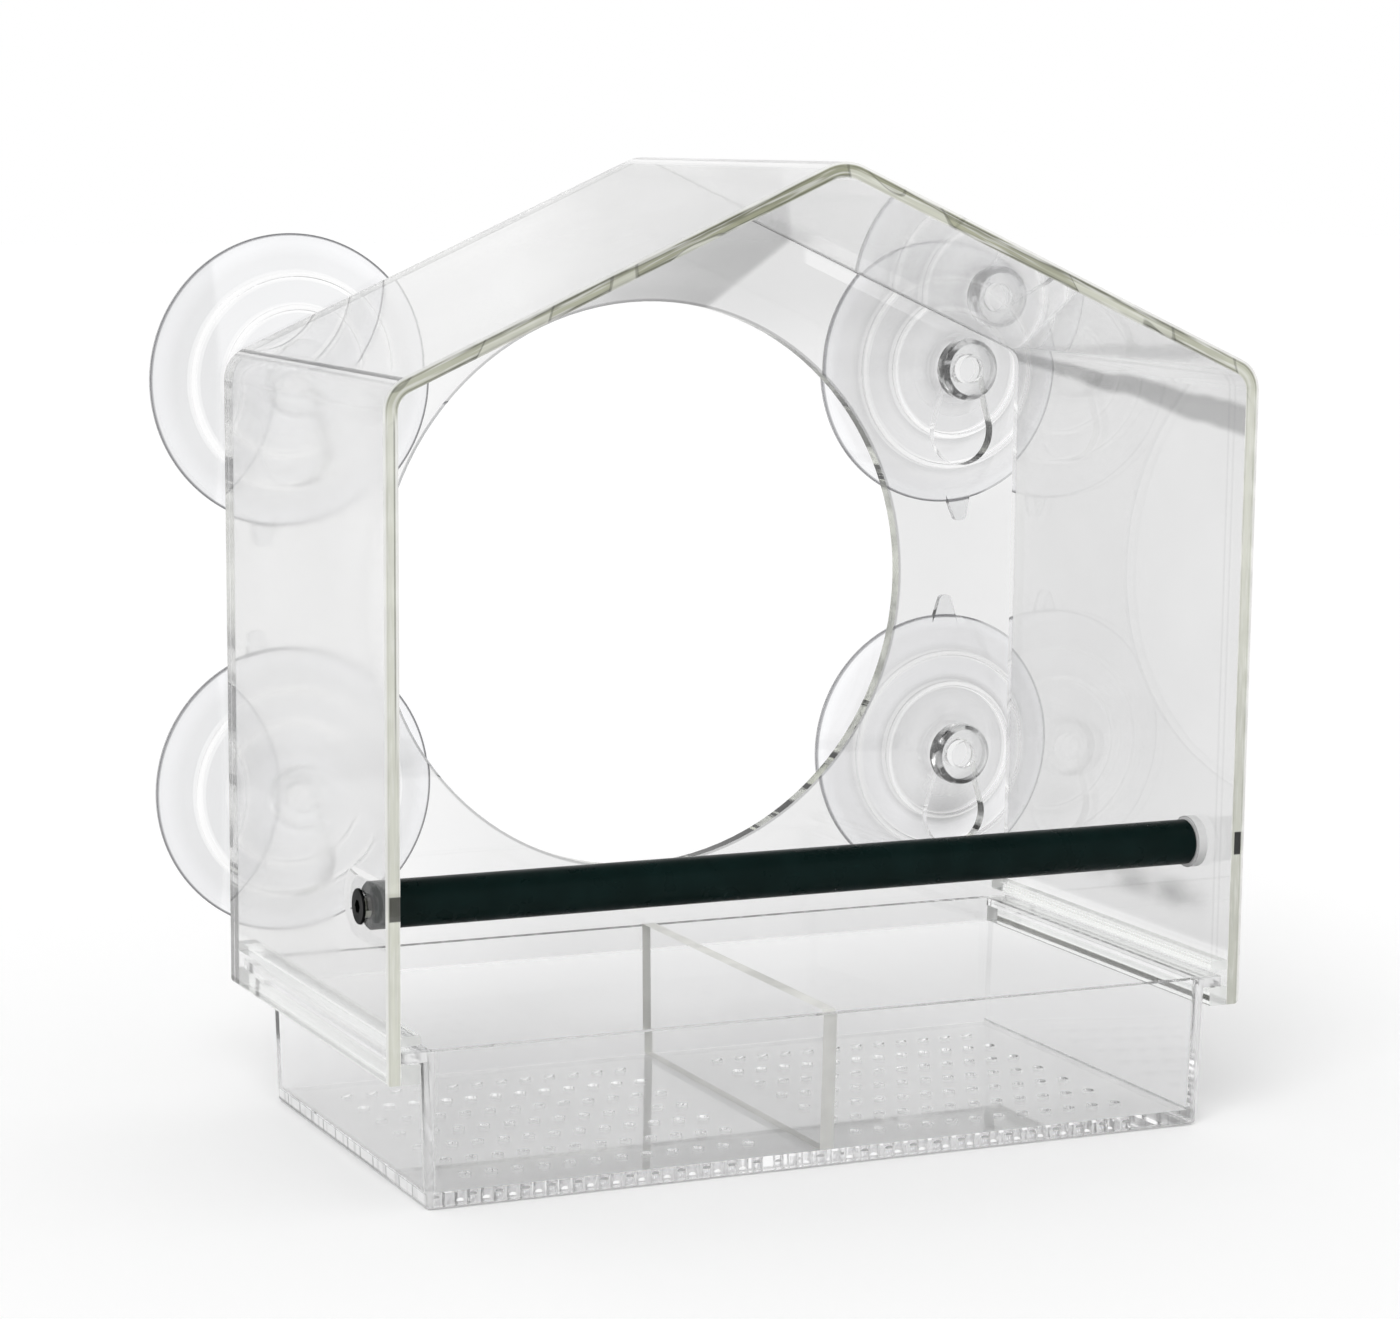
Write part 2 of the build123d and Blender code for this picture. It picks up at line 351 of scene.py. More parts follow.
out = add(tree, "OutputMaterial")
tree.links.new(matte.outputs[0], total.inputs[0])
tree.links.new(glow.outputs[0], total.inputs[1])
tree.links.new(total.outputs[0], out.inputs["Surface"])
floor.data.materials.append(floor_material)

# Bent sheet of the house
PALE_EDGE = (0.8, 0.81, 0.71)
MIDDLE_EDGE = (0.56, 0.57, 0.45)
OLIVE_EDGE = (0.35, 0.36, 0.235)
EDGE_HIGHLIGHT = (0.95, 0.95, 0.92)


def edge_colour(tree, place, depth):
    """Cut edge: a painted highlight line at both arrises, lengthwise streaks between, olive towards the
    ridge.
    """
    aside = calc(tree, "ABSOLUTE", place["X"])
    along = calc(tree, "MULTIPLY", calc(tree, "ADD", place["Z"], aside), 30.0)
    across = calc(tree, "MULTIPLY", depth, 2.5)
    streak = noise(tree, joined(tree, along, across, 0.0), 1.0, 3.0)
    fine_along = calc(tree, "MULTIPLY", along, 5.0)
    fine = noise(tree, joined(tree, fine_along, calc(tree, "MULTIPLY", depth, 5.0), 7.0), 1.0, 2.0)
    ridge = ramp(tree, aside, 0.015, 0.085, 1.0, 0.0)
    on_roof = ramp(tree, place["Z"], *ROOF_FROM_Z, soft=True)
    base = mixed(tree, on_roof, PALE_EDGE, mixed(tree, ridge, MIDDLE_EDGE, OLIVE_EDGE))
    low_right = both(tree, ramp(tree, place["X"], 0.0, 0.05), within(tree, place["Z"], (0.03, 0.12)))
    base = shaded(tree, base, low_right, 0.22)

    def by_part(on_walls, at_roof):
        return ramp(tree, on_roof, 0.0, 1.0, on_walls, at_roof)

    base = shaded(tree, base, ramp(tree, streak, 0.42, 0.6), by_part(0.08, 0.5))
    outer_line = stripe(tree, depth, 0.26, 0.015, 0.04)
    inner_line = stripe(tree, depth, 0.88, 0.02, 0.04)
    base = shaded(tree, base, calc(tree, "MAXIMUM", outer_line, inner_line), by_part(0.12, 0.4))
    glints = both(tree, ramp(tree, fine, 0.5, 0.66), by_part(0.3, 0.6))
    base = mixed(tree, glints, base, EDGE_HIGHLIGHT)
    # Pale blocks along the roof's inner half, each with a thin dark crack at its end
    block_along = calc(tree, "MULTIPLY", along, 2.2)
    block_across = calc(tree, "MULTIPLY", place["X"], 40.0)
    parts = noise(tree, joined(tree, block_along, block_across, 11.0), 1.0, 1.0)
    in_half = both(tree, on_roof, ramp(tree, depth, 0.42, 0.5))
    blocks = both(tree, in_half, ramp(tree, parts, 0.52, 0.535, 0.0, 0.55))
    base = mixed(tree, blocks, base, PALE_EDGE)
    base = shaded(tree, base, both(tree, on_roof, stripe(tree, parts, 0.525, 0.006, 0.006)), 0.4)
    # Painted highlight lines at the outer and inner arrises
    outer = ramp(tree, depth, 0.12, 0.21, 1.0, 0.0, soft=True)
    inner = both(tree, ramp(tree, depth, 0.92, 0.98, soft=True), by_part(0.9, 0.25))
    base = mixed(tree, calc(tree, "MAXIMUM", outer, inner), base, EDGE_HIGHLIGHT)
    # A dark line and a painted highlight line inside the left wall's inner arris
    upper_left = both(
        tree,
        within(tree, place["X"], (-0.02, 0.0)),
        ramp(tree, place["Z"], 0.085, 0.1),
        within(tree, on_roof, (0.0, 0.5)),
    )
    base = shaded(tree, base, both(tree, upper_left, stripe(tree, depth, 0.74, 0.03, 0.04)), 0.5)
    base = mixed(tree, both(tree, upper_left, stripe(tree, depth, 0.88, 0.05, 0.03)), base, EDGE_HIGHLIGHT)
    # The dark shanks in the perch's holes, seen through the edges
    level = calc(tree, "SUBTRACT", place["Z"], PERCH_Z + SHANK_LIFT)
    across_shank = stripe(tree, level, 0.0, SHANK_RADIUS - 0.0002, 0.0003)
    right_depth = stripe(tree, depth, 0.5, 0.24, 0.04)
    right_shank = both(tree, across_shank, right_depth, ramp(tree, place["X"], 0.0, 0.01))
    left_depth = ramp(tree, depth, 0.2, 0.3)
    left_shank = both(tree, across_shank, left_depth, ramp(tree, place["X"], -0.01, 0.0, 0.87, 0.0))
    return shaded(tree, base, calc(tree, "MAXIMUM", right_shank, left_shank), 0.985)


def rear_edge_colour(tree, place, depth):
    """Rear cut edge: grey, with black pieces along its middle and a dark line at its outer arris."""
    aside = calc(tree, "ABSOLUTE", place["X"])
    along = calc(tree, "MULTIPLY", calc(tree, "SUBTRACT", place["Z"], aside), 95.0)
    dashes = ramp(tree, noise(tree, joined(tree, along, 0.0, 3.0), 1.0, 1.0), 0.46, 0.52)
    core = stripe(tree, depth, 0.5, 0.2, 0.12)
    mottle = ramp(tree, noise(tree, joined(tree, along, depth, 9.0), 0.6, 2.0), 0.4, 0.6)
    grey = mixed(tree, mottle, (0.38, 0.38, 0.39), (0.7, 0.7, 0.7))
    on_roof = ramp(tree, place["Z"], *ROOF_FROM_Z)
    grey = shaded(tree, grey, on_roof, 0.55)
    grey = shaded(tree, grey, within(tree, depth, (0.1, 0.2)), 0.6)
    grey = shaded(tree, grey, both(tree, dashes, core), 0.85)
    right_roof = both(tree, on_roof, ramp(tree, place["X"], 0.015, 0.03))
    return mixed(tree, right_roof, grey, (0.92, 0.92, 0.92))


def sheet_depth(tree, place):
    """Depth under the house's outer face, as a share of the sheet."""
    aside = calc(tree, "ABSOLUTE", place["X"])
    under_wall = calc(tree, "SUBTRACT", HALF_WIDTH, aside)
    drop = calc(tree, "MULTIPLY", calc(tree, "SUBTRACT", APEX_Z, place["Z"]), cos(ROOF_PITCH))
    under_roof = calc(tree, "SUBTRACT", drop, calc(tree, "MULTIPLY", aside, sin(ROOF_PITCH)))
    depth = calc(tree, "MINIMUM", under_wall, under_roof)
    # Round the bends, each within the fan between its two straight parts
    ridge_z = APEX_Z - RIDGE_RADIUS / cos(ROOF_PITCH)
    shoulder_x = HALF_WIDTH - SHOULDER_RADIUS
    shoulder_z = APEX_Z - (SHOULDER_RADIUS + shoulder_x * sin(ROOF_PITCH)) / cos(ROOF_PITCH)
    over_ridge = calc(tree, "SUBTRACT", place["Z"], ridge_z)
    in_ridge = calc(tree, "GREATER_THAN", calc(tree, "MULTIPLY", over_ridge, tan(ROOF_PITCH)), aside)
    past = calc(tree, "SUBTRACT", aside, shoulder_x)
    over = calc(tree, "SUBTRACT", place["Z"], shoulder_z)
    fan_side = calc(tree, "MULTIPLY", over, tan(ROOF_PITCH))
    beyond_fan = calc(tree, "GREATER_THAN", past, fan_side)
    in_shoulder = both(tree, calc(tree, "GREATER_THAN", over, 0.0), beyond_fan)
    bends = (
        (in_ridge, RIDGE_RADIUS, aside, over_ridge),
        (in_shoulder, SHOULDER_RADIUS, past, over),
    )
    for inside, radius, first, second in bends:
        round_depth = calc(tree, "SUBTRACT", radius, distance(tree, first, second))
        change = calc(tree, "MULTIPLY", inside, calc(tree, "SUBTRACT", round_depth, depth))
        depth = calc(tree, "ADD", depth, change)
    return calc(tree, "DIVIDE", depth, SHEET)


def make_sheet_look():
    material, tree, shader = clear("clear_sheet_look")
    place = place_of(tree)
    cloud = clouds(tree, 16.0)
    on_left = within(tree, place["X"], ON_LEFT_WALL)
    on_right = ramp(tree, place["X"], *ON_RIGHT_WALL)
    left = mixed(tree, cloud, (0.93, 0.928, 0.926), (0.975, 0.974, 0.972))
    left = shaded(tree, left, within(tree, place["X"], (-0.085, -0.03)), 0.115)
    low = ramp(tree, place["Z"], 0.045, 0.088, 1.0, 0.0, soft=True)
    left = shaded(tree, left, both(tree, low, on_left), 0.04)
    # Painted shade: the right wall and the roof's right slope are tinted darker than the left
    shaded_right_side = mixed(tree, cloud, (0.73, 0.73, 0.731), (0.78, 0.78, 0.78))
    faces = mixed(tree, ramp(tree, place["X"], -0.004, 0.012), left, shaded_right_side)
    # Lighter behind the rails
    behind_rails = within(tree, place["Z"], (0.0364, 0.0374))
    faces = mixed(tree, behind_rails, faces, (0.95, 0.95, 0.95))
    # Grey streaks along the two shoulder bends and the ridge
    aside = calc(tree, "ABSOLUTE", place["X"])
    wisps = stretched_noise(tree, place, (60.0, 14.0, 160.0), 3.0)
    under_bend = band(tree, place["Z"], SHOULDER_Z - 0.005, 0.009)
    by_shoulder = both(tree, under_bend, ramp(tree, aside, 0.08, 0.086))
    faces = shaded(tree, faces, both(tree, by_shoulder, ramp(tree, wisps, 0.45, 0.6)), 0.1)
    by_ridge = band(tree, aside, 0.006, 0.012)
    faces = shaded(tree, faces, both(tree, by_ridge, ramp(tree, wisps, 0.5, 0.65)), 0.12)
    # Wavy grey streak across the right wall under its bend, a painted reflection
    slant = calc(tree, "MULTIPLY", calc(tree, "SUBTRACT", place["Y"], 0.0394), 0.084)
    sway = calc(tree, "SUBTRACT", stretched_noise(tree, place, (0.0, 45.0, 0.0)), 0.5)
    wobble = calc(tree, "MULTIPLY", sway, 0.004)
    level = calc(tree, "SUBTRACT", place["Z"], calc(tree, "ADD", slant, wobble))
    spread = ramp(tree, place["Y"], -0.045, 0.015, 0.0022, 0.0009)
    wavy_reflection = both(tree, stripe(tree, level, 0.1556, spread, 0.0016), on_right)
    faces = shaded(tree, faces, wavy_reflection, 0.42)
    # Soft grey painted shade on the right wall under the perch
    shade_under_perch = both(
        tree,
        band(tree, place["Z"], 0.0452, 0.0052),
        ramp(tree, place["Y"], -0.046, -0.034),
        within(tree, place["Y"], (-0.006, 0.012)),
        ramp(tree, stretched_noise(tree, place, (0.0, 60.0, 150.0), 3.0), 0.3, 0.6),
        on_right,
    )
    faces = shaded(tree, faces, shade_under_perch, 0.4)
    # Upright thin line just behind the right wall's front edge
    front = calc(tree, "SUBTRACT", place["Y"], FRONT_Y)
    line = both(tree, band(tree, front, 0.0062, 0.0007), on_right)
    faces = shaded(tree, faces, line, 0.14)
    # Grey mirror image on the underside of the roof beside the back panel
    patch = both(
        tree,
        ramp(tree, place["X"], 0.020, 0.026),
        within(tree, place["X"], (0.036, 0.0385)),
        ramp(tree, place["Y"], 0.020, 0.034),
    )
    faces = shaded(tree, faces, patch, 0.25)
    depth = sheet_depth(tree, place)
    at_front = within(tree, place["Y"], (-0.02, 0.02))
    rear_edges = rear_edge_colour(tree, place, depth)
    edges = mixed(tree, at_front, rear_edges, edge_colour(tree, place, depth))
    is_edge = facing_either_way(tree, "Y")
    tree.links.new(mixed(tree, is_edge, faces, edges), shader.inputs["Base Color"])
    milky = both(tree, is_edge, at_front, 0.75)
    tree.links.new(calc(tree, "SUBTRACT", 1.0, milky), shader.inputs["Transmission Weight"])
    fog = fogged(tree, 0.01, 0.03)
    behind = calc(tree, "SUBTRACT", place["Y"], PERCH_Y)
    over = calc(tree, "SUBTRACT", place["Z"], PERCH_Z)
    haze = both(tree, on_left, ramp(tree, distance(tree, behind, over), 0.015, 0.02))
    roughness = calc(tree, "ADD", fog, calc(tree, "MULTIPLY", haze, 0.06))
    tree.links.new(roughness, shader.inputs["Roughness"])
    # Little mirror gloss over the dark rod's end behind the left wall
    reach = ramp(tree, place["X"], -0.094, -0.093, PERCH_Y, PERCH_Y + 0.0045)
    behind_perch = calc(tree, "MAXIMUM", calc(tree, "SUBTRACT", place["Y"], reach), 0.0)
    from_rod = distance(tree, behind_perch, over)
    rod_reach = ramp(tree, place["X"], -0.094, -0.093, 0.0058, 0.0068)
    near_rod = within(tree, calc(tree, "SUBTRACT", from_rod, rod_reach), (0.0, 0.0003))
    dull = both(tree, on_left, near_rod)
    ior = calc(tree, "SUBTRACT", CLEAR_IOR, calc(tree, "MULTIPLY", dull, 0.34))
    tree.links.new(ior, shader.inputs["IOR"])
    sheet_waves(tree, shader)
    return material


def make_panel_look():
    material, tree, shader = clear("clear_panel_look")
    place = place_of(tree)
    faces = mixed(tree, clouds(tree, 18.0), (0.925, 0.925, 0.926), (0.965, 0.965, 0.965))
    faces = shaded(tree, faces, ramp(tree, place["X"], -0.062, -0.015), 0.115)
    # Painted shade on the panel high up under the roof, from the middle to the right
    shade_under_roof = ramp(tree, place["Z"], 0.152, 0.172, soft=True)
    faces = shaded(tree, faces, both(tree, shade_under_roof, ramp(tree, place["X"], -0.01, 0.02)), 0.12)
    # Lighter about the keyholes
    aside = calc(tree, "SUBTRACT", calc(tree, "ABSOLUTE", place["X"]), CUP_X)
    over_high = calc(tree, "SUBTRACT", place["Z"], CUP_HIGH_Z - KEYHOLE_DROP)
    over_low = calc(tree, "SUBTRACT", place["Z"], CUP_LOW_Z - 0.003)
    from_low = calc(tree, "ADD", distance(tree, aside, over_low), 0.002)
    nearest = calc(tree, "MINIMUM", distance(tree, aside, over_high), from_low)
    by_keyhole = ramp(tree, nearest, 0.012, 0.026, 1.0, 0.0, soft=True)
    faces = mixed(tree, by_keyhole, faces, (0.975, 0.975, 0.975))
    # Grey mirror image of the roof's edge, cut off along a slanting line above the round window
    rise = calc(tree, "MULTIPLY", calc(tree, "SUBTRACT", place["X"], 0.016), 0.72)
    above = calc(tree, "SUBTRACT", place["Z"], calc(tree, "ADD", rise, 0.1683))
    patch = both(
        tree,
        ramp(tree, above, 0.0, 0.0012),
        ramp(tree, above, 0.003, 0.022, 1.0, 0.8),
        ramp(tree, place["X"], -0.03, -0.008),
    )
    drawn_out = stretched_noise(tree, place, (40.0, 20.0, 120.0), 3.0)
    wisps = ramp(tree, drawn_out, 0.35, 0.65, 0.8, 1.0)
    faces = shaded(tree, faces, both(tree, patch, wisps), 0.36)
    # Dark line along the seam under the roof and a pale band under it at the right
    in_front = within(tree, place["Y"], (0.0424, 0.0436))
    depth = sheet_depth(tree, place)
    pale = both(
        tree,
        stripe(tree, depth, 1.65, 0.42, 0.12),
        ramp(tree, place["X"], 0.037, 0.0385),
        ramp(tree, place["X"], 0.066, 0.08, 1.0, 0.2),
        in_front,
        ramp(tree, place["Z"], 0.157, 0.158),
    )
    faces = mixed(tree, pale, faces, (1.0, 1.0, 1.0))
    # The line goes on faintly along the walls
    roof_or_wall = ramp(tree, place["Z"], 0.153, 0.157, 0.3, 1.0)
    seam = both(tree, within(tree, depth, (1.06, 1.1)), roof_or_wall, in_front)
    faces = shaded(tree, faces, seam, ramp(tree, place["X"], 0.05, 0.085, 0.85, 0.6))
    # Faint line of painted shade round the window
    radius = distance(tree, place["X"], calc(tree, "SUBTRACT", place["Z"], WINDOW_Z))
    window_shade_line = within(tree, radius, (WINDOW_RADIUS + 0.0004, WINDOW_RADIUS + 0.0007))
    faces = shaded(tree, faces, both(tree, window_shade_line, in_front), 0.6)
    # Edges: olive round the window, nearly clear in the keyholes but for a dark hook of painted shade in
    # each right one
    window_edge = mixed(tree, grain(tree), (0.42, 0.435, 0.37), (0.62, 0.64, 0.55))
    by_window = within(tree, radius, (WINDOW_RADIUS + 0.0005, WINDOW_RADIUS + 0.001))
    upper_hook = stripe(tree, place["Z"], 0.1363, 0.0045, 0.0015)
    lower_hook = stripe(tree, place["Z"], 0.0517, 0.0014, 0.0008)
    either_hook = calc(tree, "MAXIMUM", upper_hook, lower_hook)
    hook_shade = both(tree, ramp(tree, place["X"], 0.079, 0.081), either_hook)
    keyhole_edge = shaded(tree, (0.93, 0.935, 0.92), hook_shade, 0.85)
    edges = mixed(tree, by_window, keyhole_edge, window_edge)
    is_face = facing_either_way(tree, "Y")
    colour = mixed(tree, is_face, edges, faces)
    tree.links.new(colour, shader.inputs["Base Color"])
    # Milky upper edges, bonded under the roof
    bonded = both(
        tree,
        calc(tree, "SUBTRACT", 1.0, is_face),
        within(tree, depth, (1.1, 1.2)),
        ramp(tree, place["Z"], 0.16, 0.161),
    )
    tree.links.new(ramp(tree, bonded, 0.0, 1.0, 1.0, 0.3), shader.inputs["Transmission Weight"])
    tree.links.new(fogged(tree, 0.01, 0.03), shader.inputs["Roughness"])
    sheet_waves(tree, shader)
    return material


def make_rail_look():
    """Clear rails with milky cut ends."""
    material, tree, shader = clear("clear_rail_look", 1.1)
    ends = facing_either_way(tree, "Y")
    faces = clouds(tree, 30.0, 0.985, 1.0)
    cut = grain(tree, 0.84, 0.92)
    change = calc(tree, "MULTIPLY", ends, calc(tree, "SUBTRACT", cut, faces))
    colour = multiplied(tree, (0.99, 1.0, 0.985), calc(tree, "ADD", change, faces))
    tree.links.new(colour, shader.inputs["Base Color"])
    tree.links.new(ramp(tree, ends, 0.0, 1.0, 1.0, 0.3), shader.inputs["Transmission Weight"])
    tree.links.new(fogged(tree, 0.03, 0.08), shader.inputs["Roughness"])
    sheet_waves(tree, shader)
    return material


def make_divider_look():
    """Clear faces and milky, faintly green edges."""
    material, tree, shader = clear("clear_divider_look", 1.1)
    is_face = facing_either_way(tree, "X")
    edges = multiplied(tree, (1.0, 1.0, 0.96), grain(tree, 0.92, 1.0))
    faces = multiplied(tree, (0.985, 0.985, 0.985), clouds(tree, 30.0, 0.97, 1.0))
    tree.links.new(mixed(tree, is_face, edges, faces), shader.inputs["Base Color"])
    not_rear = ramp(tree, facing(tree, "Y"), 0.2, 0.5, 0.97, 0.0)
    milky = both(tree, calc(tree, "SUBTRACT", 1.0, is_face), not_rear)
    tree.links.new(calc(tree, "SUBTRACT", 1.0, milky), shader.inputs["Transmission Weight"])
    tree.links.new(fogged(tree, 0.016, 0.04), shader.inputs["Roughness"])
    sheet_waves(tree, shader)
    return material


def make_washer_look():
    """Clear washer with a thin grey line at its rim."""
    material, tree, shader = clear("clear_washer_look", 1.2)
    place = place_of(tree)
    behind = calc(tree, "SUBTRACT", place["Y"], PERCH_Y)
    over = calc(tree, "SUBTRACT", place["Z"], PERCH_Z)
    radius = distance(tree, behind, over)
    rim = ramp(tree, radius, WASHER_RADIUS - 0.0003, WASHER_RADIUS - 0.0001)
    ringed = both(tree, rim, facing_either_way(tree, "X"))
    colour = shaded(tree, (0.97, 0.972, 0.97), ringed, 0.4)
    shader.inputs["Transmission Weight"].default_value = 0.2
    tree.links.new(multiplied(tree, colour, grain(tree, 0.94, 1.0)), shader.inputs["Base Color"])
    tree.links.new(fogged(tree, 0.02, 0.05), shader.inputs["Roughness"])
    sheet_waves(tree, shader)
    return material


def make_tray_look():
    """Clear walls, a grey floor, milky front corners and a dark line along the left foot."""
    material, tree, shader = clear("clear_tray_look")
    place = place_of(tree)
    aside = calc(tree, "ABSOLUTE", place["X"])
    cloud = clouds(tree, 30.0)
    walls = mixed(tree, cloud, (0.97, 0.97, 0.972), (0.99, 0.99, 0.992))
    bottom = mixed(tree, cloud, (0.91, 0.912, 0.91), (0.94, 0.942, 0.94))
    at_corner = ramp(tree, aside, 0.084, 0.0855)
    corner = both(tree, at_corner, within(tree, place["Y"], (-0.0505, -0.0495)))
    walls = shaded(tree, walls, corner, 0.12)
    foot = both(
        tree,
        within(tree, place["Z"], (0.0006, 0.0011)),
        within(tree, place["X"], (-0.0862, -0.0857)),
        ramp(tree, place["Y"], -0.035, -0.02, 0.3, 1.0),
    )
    walls = shaded(tree, walls, foot, 0.75)
    # Upright bars along the floor's height, the drains' images
    front_face = within(tree, place["Y"], (-0.0529, -0.0527))
    outside = calc(tree, "MAXIMUM", front_face, ramp(tree, aside, 0.0862, 0.0864))
    low = both(tree, outside, within(tree, place["Z"], (0.0027, 0.0032)))
    along = calc(tree, "ADD", place["X"], calc(tree, "MULTIPLY", place["Y"], 0.6))
    uneven = noise(tree, joined(tree, calc(tree, "MULTIPLY", along, 480.0), 0.0, 5.0), 1.0, 1.0)
    broad = calc(tree, "MULTIPLY", ramp(tree, uneven, 0.5, 0.64), 0.4)
    thin = band(tree, calc(tree, "PINGPONG", along, 0.0046), 0.0023, 0.00035)
    bars = both(tree, low, calc(tree, "MAXIMUM", broad, thin))
    walls = shaded(tree, walls, bars, 0.55)
    tree.links.new(mixed(tree, facing_either_way(tree, "Z"), walls, bottom), shader.inputs["Base Color"])
    milky_corner = calc(tree, "MULTIPLY", corner, 0.4)
    milky = calc(tree, "MAXIMUM", milky_corner, calc(tree, "MULTIPLY", low, 0.85))
    tree.links.new(calc(tree, "SUBTRACT", 1.0, milky), shader.inputs["Transmission Weight"])
    tree.links.new(fogged(tree, 0.015, 0.04), shader.inputs["Roughness"])
    sheet_waves(tree, shader)
    return material


CUP_BODY = (0.8, 0.803, 0.81)
CUP_RIBBON = (0.87, 0.873, 0.885)
CUP_RING_HIGHLIGHT = (1.0, 1.0, 1.0)
CUP_RIM = (0.2, 0.2, 0.21)
RING_SHARES = (0.499, 0.717)
RING_FADE = 0.009
# Tint of a cup's front from its middle to its rim, as shares of the cup's radius
LEFT_CUP_BODY = [
    (0.0, CUP_RIBBON),
    (0.26, CUP_RIBBON),
    (0.4, CUP_BODY),
    (0.84, CUP_BODY),
    (0.93, CUP_RIBBON),
    (0.98, CUP_RIBBON),
    (0.988, CUP_RIM),
]
# In the right cups the darker stops just outside each ring are painted shade beside the ring highlights
TOP_RIGHT_CUP_BODY = [
    (0.19, (0.72, 0.72, 0.725)),
    (0.215, (0.55, 0.55, 0.555)),
    (0.26, (0.62, 0.62, 0.625)),
    (0.31, (0.69, 0.69, 0.695)),
    (0.465, (0.69, 0.69, 0.695)),
    (0.535, (0.62, 0.62, 0.625)),
    (0.58, (0.74, 0.74, 0.745)),
    (0.68, (0.76, 0.76, 0.765)),
    (0.76, (0.68, 0.68, 0.685)),
    (0.8, (0.78, 0.78, 0.785)),
    (0.9, (0.81, 0.81, 0.82)),
    (0.94, CUP_RIBBON),
    (0.98, CUP_RIBBON),
    (0.988, CUP_RIM),
]
LOW_RIGHT_CUP_BODY = [
    (0.19, (0.72, 0.72, 0.725)),
    (0.215, (0.6, 0.6, 0.605)),
    (0.26, (0.66, 0.66, 0.665)),
    (0.31, (0.7, 0.7, 0.705)),
    (0.465, (0.68, 0.68, 0.685)),
    (0.535, (0.63, 0.63, 0.635)),
    (0.58, (0.83, 0.83, 0.84)),
    (0.68, (0.83, 0.83, 0.84)),
    (0.76, (0.74, 0.74, 0.745)),
    (0.8, (0.82, 0.82, 0.83)),
    (0.9, (0.82, 0.82, 0.83)),
    (0.94, CUP_RIBBON),
    (0.98, CUP_RIBBON),
    (0.988, CUP_RIM),
]
HEAD_DIMPLE = (0.82, 0.823, 0.822)
HEAD_FACE = (0.96, 0.963, 0.96)
BEHIND_PANEL = 1.11


def make_cup_look(name, middle_x, middle_z, stops, ring_half, ring_darkness, head_shade_darkness=0.0):
    """Clear soft plastic: a dark hairline at the rim, a light ribbon inside it and two painted highlight
    rings.
    """
    material, tree, shader = clear(name, 1.5)
    place = place_of(tree)
    across = calc(tree, "SUBTRACT", place["X"], middle_x)
    upward = calc(tree, "SUBTRACT", place["Z"], middle_z)
    radius = distance(tree, across, upward)
    share = calc(tree, "DIVIDE", radius, CUP_RADIUS)
    body = profile(tree, share, stops)
    each_ring = (stripe(tree, share, middle, ring_half, RING_FADE) for middle in RING_SHARES)
    ring_highlights = calc(tree, "MAXIMUM", *each_ring)
    left_edge = (-HALF_WIDTH - 0.0005, -HALF_WIDTH + 0.0005)
    lift = ramp(tree, place["X"], *left_edge, 1.0, BEHIND_PANEL)
    front_side = mixed(tree, ring_highlights, multiplied(tree, body, lift), CUP_RING_HIGHLIGHT)
    front_side = multiplied(tree, front_side, clouds(tree, 45.0, 0.97, 1.0))
    # Painted shade under the head, used on the bottom right cup
    shade_under_head = both(tree, band(tree, upward, -0.0145, 0.01), band(tree, across, 0.0, 0.013))
    front_side = shaded(tree, front_side, shade_under_head, head_shade_darkness)
    rear_side = mixed(tree, ramp(tree, share, 0.98, 0.99), (0.97, 0.972, 0.975), CUP_RIM)
    # The rim is pale where it stands out past the right wall, and the head has a dark ring
    past_wall = ramp(tree, place["X"], 0.087, 0.09)
    facing_front = ramp(tree, facing(tree, "Y"), -0.2, 0.2, 1.0, 0.0)
    past_rim = ramp(tree, share, 1.004, 1.006)
    colour = mixed(tree, facing_front, rear_side, front_side)
    colour = mixed(tree, past_rim, colour, (0.9, 0.905, 0.91))
    pale_rim = both(tree, past_wall, ramp(tree, share, 0.975, 0.985))
    colour = mixed(tree, pale_rim, colour, (0.66, 0.665, 0.67))
    blotch = ramp(tree, even_noise(tree, 260.0, 2.0), 0.36, 0.5, 0.35, 1.0)
    # Thick on the left and fading on the right
    half = ramp(tree, across, -0.006, 0.001, 0.0007, 0.0003)
    fading = ramp(tree, across, 0.001, 0.0055, 1.0, 0.35)
    ring_line = stripe(tree, radius, HEAD_RADIUS - 0.0007, half, 0.0003)
    dark_ring = both(tree, ring_line, blotch, fading)
    past_dimple = ramp(tree, radius, DIMPLE_RADIUS - 0.0001, DIMPLE_RADIUS + 0.0001)
    head = mixed(tree, past_dimple, HEAD_DIMPLE, HEAD_FACE)
    head = shaded(tree, head, dark_ring, ring_darkness)
    on_head = within(tree, place["Y"], (HEAD_REAR_Y - 0.0001, HEAD_REAR_Y + 0.0001))
    tree.links.new(mixed(tree, on_head, colour, head), shader.inputs["Base Color"])
    fog = ramp(tree, even_noise(tree, 90.0, 3.0), 0.35, 0.7, 0.03, 0.06)
    tree.links.new(fog, shader.inputs["Roughness"])
    waves(tree, shader, even_noise(tree, 60.0), 0.05, 0.001)
    return material


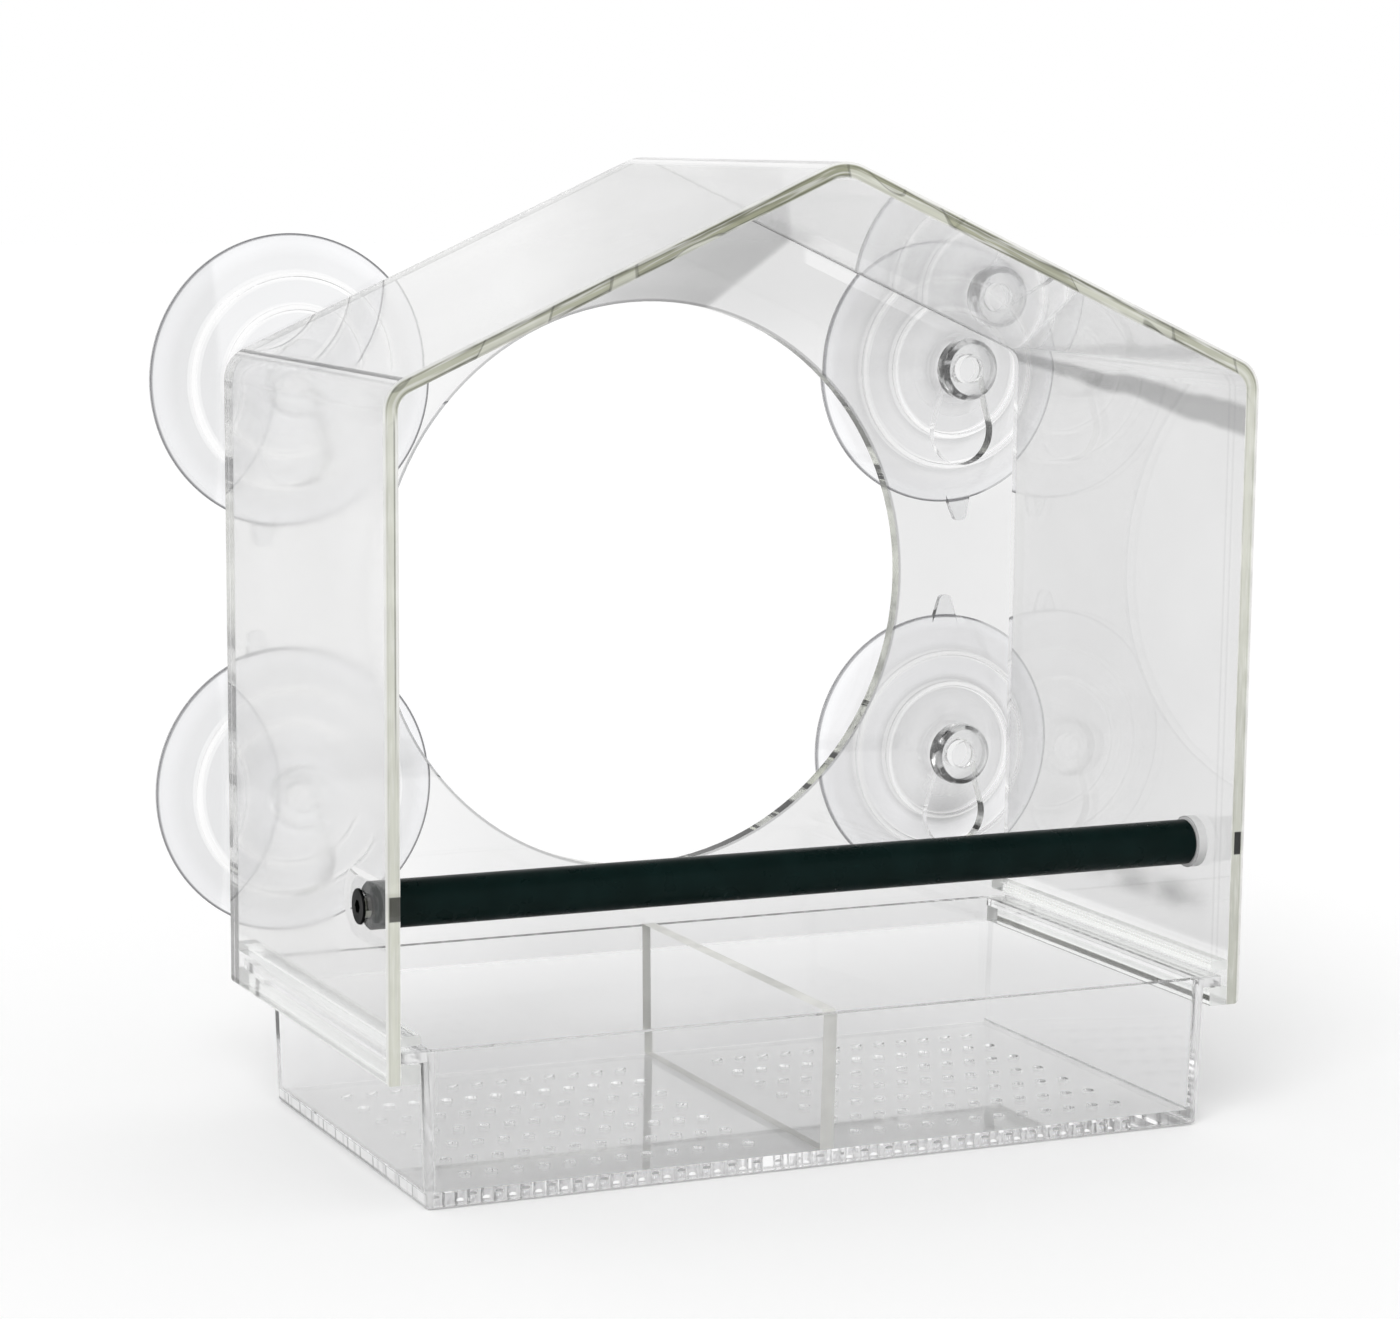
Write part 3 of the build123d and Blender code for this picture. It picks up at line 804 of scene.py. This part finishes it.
def make_dark_look(name, colour, lighter, roughness, level):
    material, tree, shader = new_material(name)
    speckle = ramp(tree, even_noise(tree, 120.0, 4.0), 0.4, 0.65)
    tree.links.new(mixed(tree, speckle, colour, lighter), shader.inputs["Base Color"])
    shader.inputs["Specular IOR Level"].default_value = level
    fog = ramp(tree, even_noise(tree, 200.0, 3.0), 0.35, 0.7, roughness, roughness * 1.5)
    tree.links.new(fog, shader.inputs["Roughness"])
    waves(tree, shader, even_noise(tree, 300.0, 3.0), 0.02, 0.0003)
    return material


sheet_look = make_sheet_look()
panel_look = make_panel_look()
rail_look = make_rail_look()
tray_look = make_tray_look()
divider_look = make_divider_look()
washer_look = make_washer_look()
ROD_TONES = ((0.002, 0.009, 0.008), (0.003, 0.012, 0.011))
SCREW_TONES = ((0.001, 0.0015, 0.0015), (0.003, 0.004, 0.004))
rod_look = make_dark_look("dark_rod_look", *ROD_TONES, 0.25, 0.06)
screw_look = make_dark_look("dark_screw_look", *SCREW_TONES, 0.3, 0.04)
# Half width of a cup's painted highlight rings and darkness of its head's dark ring, by the side of the
# house
LEFT_RINGS = (0.028, 0.1)
RIGHT_RINGS = (0.02, 0.97)

LOOKS = {
    "house_shell": sheet_look,
    "back_panel": panel_look,
    "left_lower_rail": rail_look,
    "right_lower_rail": rail_look,
    "left_upper_rail": rail_look,
    "right_upper_rail": rail_look,
    "seed_tray": tray_look,
    "tray_divider": divider_look,
    "perch_rod": rod_look,
    "perch_screw": screw_look,
    "right_perch_washer": washer_look,
    "top_left_cup": make_cup_look(
        "top_left_cup_look", -CUP_X, CUP_HIGH_Z, LEFT_CUP_BODY, *LEFT_RINGS
    ),
    "top_right_cup": make_cup_look(
        "top_right_cup_look", CUP_X, CUP_HIGH_Z, TOP_RIGHT_CUP_BODY, *RIGHT_RINGS
    ),
    "bottom_left_cup": make_cup_look(
        "bottom_left_cup_look", -CUP_X, CUP_LOW_Z, LEFT_CUP_BODY, *LEFT_RINGS
    ),
    "bottom_right_cup": make_cup_look(
        "bottom_right_cup_look", CUP_X, CUP_LOW_Z, LOW_RIGHT_CUP_BODY, *RIGHT_RINGS, head_shade_darkness=0.35
    ),
}
for name, look in LOOKS.items():
    for index in range(len(nodes[name].material_slots)):
        nodes[name].material_slots[index].material = look
